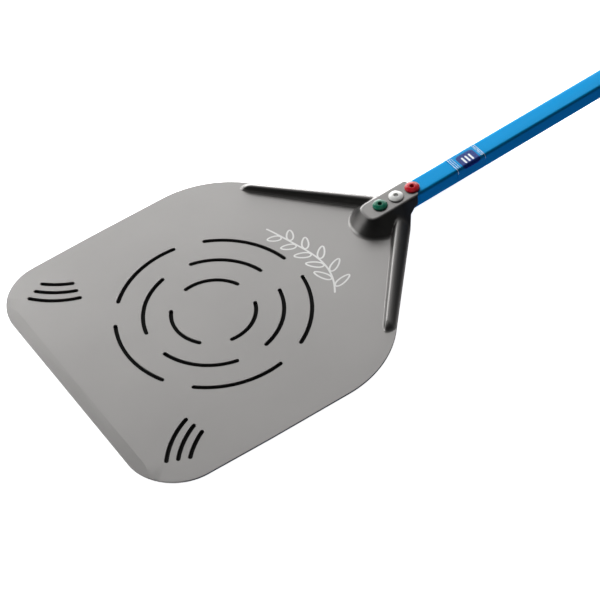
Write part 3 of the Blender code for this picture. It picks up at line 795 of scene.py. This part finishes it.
def tube_mesh():
    outer = rounded_section(0, TUBE_CORNER)
    inner = rounded_section(TUBE_WALL, TUBE_CORNER - TUBE_WALL)
    eased = rounded_section(0.2 * MM, TUBE_CORNER - 0.1 * MM)
    bm = bmesh.new()
    rings = []
    ease = 0.2 * MM
    for loop, y in ((inner, 0), (eased, 0), (outer, ease), (outer, TUBE_LENGTH - ease),
                    (eased, TUBE_LENGTH), (inner, TUBE_LENGTH)):
        rings.append([bm.verts.new((x, y, z)) for x, z in loop])
    for first, second in zip(rings, rings[1:] + rings[:1]):
        join_rings(bm, first, second)
    mesh = mesh_from("tube", bm)
    cutters = []
    for x, y in RIVET_PLACES:
        bm = bmesh.new()
        place = Matrix.Translation((x, rivet_station(y), TUBE_HEIGHT / 2))
        radius = RIVET_SHANK_RADIUS + GAP
        bmesh.ops.create_cone(bm, cap_ends=True, segments=40, radius1=radius, radius2=radius,
                              depth=3 * TUBE_WALL, matrix=place)
        cutters.append(mesh_from("hole", bm))
    mesh = cut(mesh, cutters)
    mesh.transform(HANDLE)
    return mesh


def lathe(profile, segments, closed=True):
    bm = bmesh.new()
    rings = []
    for i in range(segments):
        angle = 2 * pi * i / segments
        rings.append([bm.verts.new((r * cos(angle), r * sin(angle), z)) for r, z in profile])
    count = len(profile)
    for i, ring in enumerate(rings):
        after = rings[(i + 1) % segments]
        for j in range(count if closed else count - 1):
            k = (j + 1) % count
            bm.faces.new((ring[j], ring[k], after[k], after[j]))
    if not closed:
        bm.faces.new([ring[0] for ring in rings])
        bm.faces.new([ring[-1] for ring in rings][::-1])
    return bm


def smooth_curve(points, steps):
    """A Catmull-Rom curve through the points."""
    ends = [points[0], *points, points[-1]]
    curve = []
    for p0, p1, p2, p3 in zip(ends, ends[1:], ends[2:], ends[3:]):
        for i in range(steps):
            t = i / steps
            curve.append(tuple(
                0.5 * (2 * b + (c - a) * t + (2 * a - 5 * b + 4 * c - d) * t * t
                       + (3 * b - a - 3 * c + d) * t**3)
                for a, b, c, d in zip(p0, p1, p2, p3)))
    curve.append(points[-1])
    return curve


def rivet_profile():
    bore, shank, head = RIVET_BORE_RADIUS, RIVET_SHANK_RADIUS, RIVET_HEAD_RADIUS
    top = RIVET_HEAD_HEIGHT
    tail = -(SHEET + TUBE_WALL + 2 * GAP + GAP)
    crown = [(bore, top - 1.0 * MM), (bore + 0.12 * MM, top - 0.5 * MM),
             (bore + 0.55 * MM, top - 0.08 * MM), (3.1 * MM, top), (4.2 * MM, top - 0.2 * MM),
             (5.5 * MM, top - 0.6 * MM), (6.6 * MM, top - 1.08 * MM),
             (head - 0.4 * MM, top - 1.55 * MM), (head, top - 2.1 * MM),
             (head - 0.1 * MM, 0.3 * MM), (head - 0.5 * MM, 0.02 * MM)]
    section = [(bore, tail - 4.5 * MM)] + smooth_curve(crown, 4)
    section += [(shank, 0.02 * MM), (shank, tail), (RIVET_TAIL_RADIUS, tail - 0.6 * MM)]
    section += [(RIVET_TAIL_RADIUS, tail - 2.6 * MM), (shank - 0.2 * MM, tail - 4.5 * MM)]
    return section


def mandrel_profile(top):
    tail = -(SHEET + TUBE_WALL + 3 * GAP) - 4.5 * MM - GAP
    stem, bulb = MANDREL_RADIUS, RIVET_SHANK_RADIUS
    return [(0.5 * MM, top - 0.2 * MM), (0.9 * MM, top), (stem - 0.3 * MM, top - 0.1 * MM),
            (stem, top - 0.45 * MM), (stem, tail), (bulb, tail), (bulb, tail - 1.2 * MM),
            (bulb - 1.2 * MM, tail - 2.0 * MM)]


def build_rivets():
    head_z = TUBE_HEIGHT / 2 + 2 * GAP + SHEET
    kinds = (("front", GREEN, -2.0 * MM), ("middle", WHITE, 1.3 * MM), ("rear", RED, -2.0 * MM))
    for (place, enamel, stem_top), (x, y) in zip(kinds, RIVET_PLACES):
        where = HANDLE @ Matrix.Translation((x, rivet_station(y), head_z))
        body = mesh_from(f"rivet_{place}", lathe(rivet_profile(), 56))
        body.transform(where)
        add_piece(f"domed_rivet_{place}", body, enamel,
                  [f"rivet_{place}"], 50)
        stem = mesh_from(f"mandrel_{place}", lathe(mandrel_profile(stem_top), 32, closed=False))
        stem.transform(where)
        add_piece(f"rivet_stem_{place}", stem, STEEL, [f"mandrel_{place}"])


def wrap_point(s, lift):
    """(x, z) on the tube's skin, s round from the middle of its top, lifted off it."""
    flat = TUBE_WIDTH / 2 - TUBE_CORNER
    turn = TUBE_CORNER * pi / 2
    side = 1 if s >= 0 else -1
    s = abs(s)
    radius = TUBE_CORNER + lift
    up = TUBE_HEIGHT / 2 - TUBE_CORNER
    if s <= flat:
        return (side * s, TUBE_HEIGHT / 2 + lift)
    if s <= flat + turn:
        angle = (s - flat) / TUBE_CORNER
        return (side * (flat + radius * sin(angle)), up + radius * cos(angle))
    return (side * (TUBE_WIDTH / 2 + lift), up - (s - flat - turn))


def wrapped_patch(bm, s_range, y_range, corner, lift, thickness):
    """Adds a thin rounded patch that follows the tube's skin."""
    (s0, s1), (y0, y1) = s_range, y_range
    columns = max(3, round((s1 - s0) / (0.5 * MM)))
    layers = []
    for level in (lift, lift + thickness):
        grid = []
        for i in range(columns + 1):
            s = s0 + (s1 - s0) * i / columns
            edge = max(min(s - s0, s1 - s, corner), 0.0)
            trim = corner - (corner**2 - (corner - edge) ** 2) ** 0.5 if corner else 0
            x, z = wrap_point(s, level)
            row = []
            for j in range(5):
                y = y0 + trim + (y1 - y0 - 2 * trim) * j / 4
                row.append(bm.verts.new((x, along_tube(y), z)))
            grid.append(row)
        layers.append(grid)
    low, high = layers
    for i in range(columns):
        for j in range(4):
            bm.faces.new((high[i][j], high[i + 1][j], high[i + 1][j + 1], high[i][j + 1]))
            bm.faces.new((low[i][j], low[i][j + 1], low[i + 1][j + 1], low[i + 1][j]))
    border = [(i, 0) for i in range(columns + 1)] + [(columns, j) for j in range(1, 5)]
    border += [(i, 4) for i in range(columns - 1, -1, -1)] + [(0, j) for j in range(3, 0, -1)]
    join_rings(bm, [high[i][j] for i, j in border], [low[i][j] for i, j in border])


def wrapped_mesh(name, patches, lift, thickness):
    """A mesh of patches, each with its range round the tube, its range of y and its corner."""
    bm = bmesh.new()
    for s_range, y_range, corner in patches:
        wrapped_patch(bm, s_range, y_range, corner, lift, thickness)
    mesh = mesh_from(name, bm)
    mesh.transform(HANDLE)
    return mesh


def build_label():
    film_low = GAP * 0.4
    flat_and_turn = TUBE_WIDTH / 2 - TUBE_CORNER + TUBE_CORNER * pi / 2
    reach = flat_and_turn + LABEL_DROP - TUBE_CORNER
    film = wrapped_mesh("film", [((-reach, reach), LABEL_YS, 2 * MM)], film_low, LABEL_THICKNESS)
    add_piece("label_film", film, FILM, ["handle_label"], 40)
    ink = film_low + LABEL_THICKNESS
    badge = [((-5.5 * MM, 13.5 * MM), (304 * MM, 326 * MM), 4 * MM)]
    panel = wrapped_mesh("panel", badge, ink - 0.02 * MM, 0.05 * MM)
    add_piece("label_panel", panel, PANEL, (), 40)
    marks = [((-9.6, -9.1), (296.2, 332.0), 0.0)]
    marks += [((-9.1, 14.5), (y, y + 0.5), 0.0) for y in (296.2, 331.5)]
    for row, (y, height) in enumerate(((298.3, 0.8), (300.6, 0.6), (328.3, 0.6), (329.7, 0.8))):
        for i in range(8):
            s0 = -7.6 + 2.1 * i + 0.5 * (row % 2)
            marks.append(((s0, s0 + 1.5 - 0.3 * ((i + row) % 3)), (y, y + height), 0.0))
    marks += [((-1.5, 8.0), (y, y + 2.2), 1.0) for y in (309.0, 313.5, 318.0)]
    sized = [([s * MM for s in s_range], [y * MM for y in y_range], corner * MM)
             for s_range, y_range, corner in marks]
    dashes = wrapped_mesh("dashes", sized, ink + 0.02 * MM, 0.05 * MM)
    add_piece("label_dashes", dashes, PALE, (), 40)


def rings_joined(bm, loops_and_ys):
    """Cross-section loops of (x, z) points joined into a skin along the tube."""
    rings = [[bm.verts.new((x, y, z)) for x, z in loop] for loop, y in loops_and_ys]
    for first, second in zip(rings, rings[1:]):
        join_rings(bm, first, second)
    return rings


def plug_mesh(end):
    """The cap's flange, with its outer edge eased, and the stem inside the tube."""
    ease = 1.2 * MM
    stem_shrink = TUBE_WALL + GAP
    profile = [(stem_shrink + 0.6 * MM, -CAP_STEM), (stem_shrink, -CAP_STEM + 1.5 * MM),
               (stem_shrink, 0.0), (0.35 * MM, 0.0), (0.0, 0.4 * MM)]
    for i in range(6):
        angle = radians(90 * i / 5)
        profile.append((ease * (1 - cos(angle)), CAP_FLANGE - ease + ease * sin(angle)))
    sections = []
    for shrink, y in profile:
        in_tube = y <= 0 and shrink >= stem_shrink
        corner = CAP_STEM_CORNER if in_tube else TUBE_CORNER - 0.2 * shrink
        sections.append((rounded_section(shrink, corner), end + y))
    bm = bmesh.new()
    rings = rings_joined(bm, sections)
    bm.faces.new(rings[0])
    bm.faces.new(rings[-1])
    return mesh_from("plug", bm)


def eye_mesh(start):
    """The hanging eye: a round-edged tab with a hole, its root sunk in the flange."""
    root = TUBE_WIDTH / 2 - 2.2 * MM
    flat = EYE_THICKNESS / 2 - EYE_EASE
    centre = (0, EYE_LENGTH - EYE_RADIUS)
    bm = bmesh.new()
    outer_rings, inner_rings = [], []
    for i in range(7):
        angle = radians(-90 + 30 * i)
        inset = EYE_EASE * (1 - cos(angle))
        side = (i > 3) - (i < 3)
        z = flat * side + EYE_EASE * sin(angle)
        tip = arc(centre, EYE_RADIUS - inset, 0, 180, 30)
        loop = [(root - inset, -2 * MM)] + tip + [(-root + inset, -2 * MM)]
        hole = arc(centre, EYE_HOLE_RADIUS + 0.5 * inset, 0, 348.75, 31)
        outer_rings.append([bm.verts.new((x, start + y, z)) for x, y in loop])
        inner_rings.append([bm.verts.new((x, start + y, z)) for x, y in hole])
    for rings in (outer_rings, inner_rings):
        for first, second in zip(rings, rings[1:]):
            join_rings(bm, first, second)
    for level in (0, -1):
        edges = []
        for ring in (outer_rings[level], inner_rings[level]):
            edges += [bm.edges.get(pair) for pair in zip(ring, ring[1:] + ring[:1])]
        bmesh.ops.triangle_fill(bm, use_beauty=True, edges=edges)
    return mesh_from("eye", bm)


def cap_mesh():
    end = TUBE_LENGTH + GAP
    mesh = cut(plug_mesh(end), [eye_mesh(end + CAP_FLANGE)], "UNION")
    mesh.transform(HANDLE)
    return mesh


def round_end(centre, ahead, radius):
    turn = np.array([-ahead[1], ahead[0]])
    angles = [radians(a) for a in (30, 60, 90, 120, 150)]
    return [centre + radius * (turn * cos(a) + ahead * sin(a)) for a in angles]


def stroke(bm, line, width, top, closed=False):
    """A flat ribbon along a line of (x, y) points on the blade's top face."""
    xy = np.array(line)
    low = SHEET - 0.02 * MM
    if closed:
        ahead = np.roll(xy, -1, axis=0) - np.roll(xy, 1, axis=0)
    else:
        ahead = np.gradient(xy, axis=0)
    ahead /= np.linalg.norm(ahead, axis=1)[:, None]
    side = np.stack([-ahead[:, 1], ahead[:, 0]], axis=1) * width / 2
    left, right = xy + side, xy - side
    if closed:
        rings = [[bm.verts.new((x, y, z)) for x, y in points]
                 for points, z in ((left, low), (left, top), (right, top), (right, low))]
        for first, second in zip(rings, rings[1:] + rings[:1]):
            join_rings(bm, first, second)
        return
    loop = list(left) + round_end(xy[-1], ahead[-1], width / 2)
    loop += list(right[::-1]) + round_end(xy[0], -ahead[0], width / 2)
    rings = [[bm.verts.new((x, y, z)) for x, y in loop] for z in (low, top)]
    join_rings(bm, *rings)
    for ring in rings:
        edges = [bm.edges.get(pair) for pair in zip(ring, ring[1:] + ring[:1])]
        bmesh.ops.triangle_fill(bm, use_beauty=True, edges=edges)


def stem_point(t):
    """A point of the sprig's wavy stem, t from 0 to 1 along it."""
    angle = radians(64 + 56 * t)
    radius = (121 + 3.0 * sin(2 * pi * t)) * MM
    return Vector((radius * cos(angle), radius * sin(angle)))


def leaf_loop(t, side, length):
    root = stem_point(t)
    along = (stem_point(t + 0.01) - root).normalized()
    out = Vector((along.y, -along.x)) * side
    axis = (along * cos(LEAF_ANGLE) + out * sin(LEAF_ANGLE)).normalized()
    across = Vector((-axis.y, axis.x))
    start = root + axis * 1.6 * MM
    loop = []
    for i in range(24):
        turn = 2 * pi * i / 24
        u = 0.5 - 0.5 * cos(turn)
        half = LEAF_HALF_WIDTH * sin(turn) * (1 - 0.35 * u)
        loop.append(tuple(start + axis * length * u + across * half))
    return loop


def sprig_mesh():
    """A plain leafy sprig etched along an arc ahead of the socket."""
    bm = bmesh.new()
    level = SHEET + 0.02 * MM
    stroke(bm, [tuple(stem_point(i / 40)) for i in range(41)], 1.9 * MM, level)
    for pair in range(5):
        for side, later in ((1, 0.0), (-1, 0.085)):
            level += 0.002 * MM  # no two strokes share a level where they cross
            leaf = leaf_loop(0.06 + 0.17 * pair + later, side, (20 - 1.4 * pair) * MM)
            stroke(bm, leaf, 1.8 * MM, level, closed=True)
    return mesh_from("sprig", bm)


build_blade()
add_piece("etched_sprig", sprig_mesh(), ETCHED, (), 30)
add_piece("tube_body", tube_mesh(), BLUE, ["handle_tube"], 40)
build_rivets()
build_label()
add_piece("hanging_cap", cap_mesh(), BLACK, ["end_cap"], 35)

# ------------------------------------------------------------------------------- stage

def plain_material(name, colour, roughness, glow=0.0):
    material, tree, shader = new_material(name)
    shader.inputs["Base Color"].default_value = (*colour, 1)
    shader.inputs["Roughness"].default_value = roughness
    shader.inputs["Emission Color"].default_value = (1, 1, 1, 1)
    shader.inputs["Emission Strength"].default_value = glow
    return material


def flat_sheet(name, loop, z, material):
    bm = bmesh.new()
    bm.faces.new([bm.verts.new((x, y, z)) for x, y in loop])
    mesh = mesh_from(name, bm)
    mesh.materials.append(material)
    thing = bpy.data.objects.new(name, mesh)
    bpy.context.scene.collection.objects.link(thing)
    return thing


FLOOR_REACH = 12.0
floor_loop = [(x * FLOOR_REACH, y * FLOOR_REACH) for x, y in ((-1, -1), (1, -1), (1, 1), (-1, 1))]
floor = flat_sheet("floor", floor_loop, -0.5 * MM,
                   plain_material("floor_paint", (0.9, 0.9, 0.9), 0.9, 0.95))
# The floor glows white by itself, and the lights below it reach the object through it.
floor.visible_glossy = False
floor.visible_diffuse = False
floor.visible_shadow = False
# A black card under the blade stands in for the shade seen through its slots.
card_loop = [(x * 0.955, y * 0.955) for x, y in outline() if y < 125 * MM]
flat_sheet("slot_shade_card", card_loop, -0.3 * MM,
           plain_material("slot_shade_black", (0.004, 0.004, 0.004), 1.0))

LIGHTS_AIM = Vector((0, 0.1, 0))
LIGHT_DISTANCE = 3.0


def panel_light(name, azimuth, elevation, angles, radiance):
    """A flat soft light seen from the peel over the given angles (degrees across and up)."""
    data = bpy.data.lights.new(name, "AREA")
    data.shape = "RECTANGLE"
    data.size, data.size_y = (2 * LIGHT_DISTANCE * tan(radians(a / 2)) for a in angles)
    data.energy = radiance * pi * data.size * data.size_y
    light = bpy.data.objects.new(name, data)
    bpy.context.scene.collection.objects.link(light)
    a, e = radians(azimuth), radians(elevation)
    outward = Vector((cos(a) * cos(e), sin(a) * cos(e), sin(e)))
    light.location = LIGHTS_AIM + LIGHT_DISTANCE * outward
    light.rotation_mode = "QUATERNION"
    light.rotation_quaternion = (-outward).to_track_quat("-Z", "Y")
    light.visible_camera = False
    return light


# name, azimuth, elevation, angles across and up, radiance
SOFT_LIGHTS = (
    ("low_window", 150, 11, (60, 18), 3.4),
    ("middle_window", 150, 31, (60, 20), 1.5),
    ("high_window", 154, 51, (36, 16), 0.87),
    ("left_box", 180, 35, (14, 14), 2.4),
    ("side_box", -150, 14, (64, 22), 2.1),
    ("front_left_box", -138, 40, (26, 36), 0.6),
    ("handle_end_box", 105, 35, (30, 30), 0.25),
    ("right_box", 75, 38, (30, 50), 0.1),
    ("front_box", -100, 50, (40, 30), 0.08),
    ("zenith_box", 0, 84, (40, 40), 0.25),
    ("edge_strip", 160, -8, (36, 16), 6.0),
    ("under_front", -90, -47, (90, 40), 0.75),
)
for row in SOFT_LIGHTS:
    panel_light(*row)
paint_key = panel_light("paint_key", 172, 36, (18, 18), 31.0)
paint_fill = panel_light("paint_fill", 15, -42, (20, 20), 9.0)
paint_fill.data.color = (0.7, 1.0, 1.6)
for lamp in (paint_key, paint_fill):
    lamp.visible_glossy = False  # they light what is matt and aren't mirrored in the metal

world = bpy.data.worlds.new("studio")
world.use_nodes = True
world.node_tree.nodes["Background"].inputs["Color"].default_value = (1, 1, 1, 1)
world.node_tree.nodes["Background"].inputs["Strength"].default_value = 0.03
bpy.context.scene.world = world
bpy.context.scene.view_settings.view_transform = "Standard"

camera_data = bpy.data.cameras.new("camera")
camera_data.sensor_width = 36
camera_data.lens = 114.63
camera = bpy.data.objects.new("camera", camera_data)
bpy.context.scene.collection.objects.link(camera)
camera.location = (1.12762, -0.57881, 1.38913)
camera.rotation_euler = [radians(angle) for angle in (42.331, 3.576, 55.041)]
bpy.context.scene.camera = camera
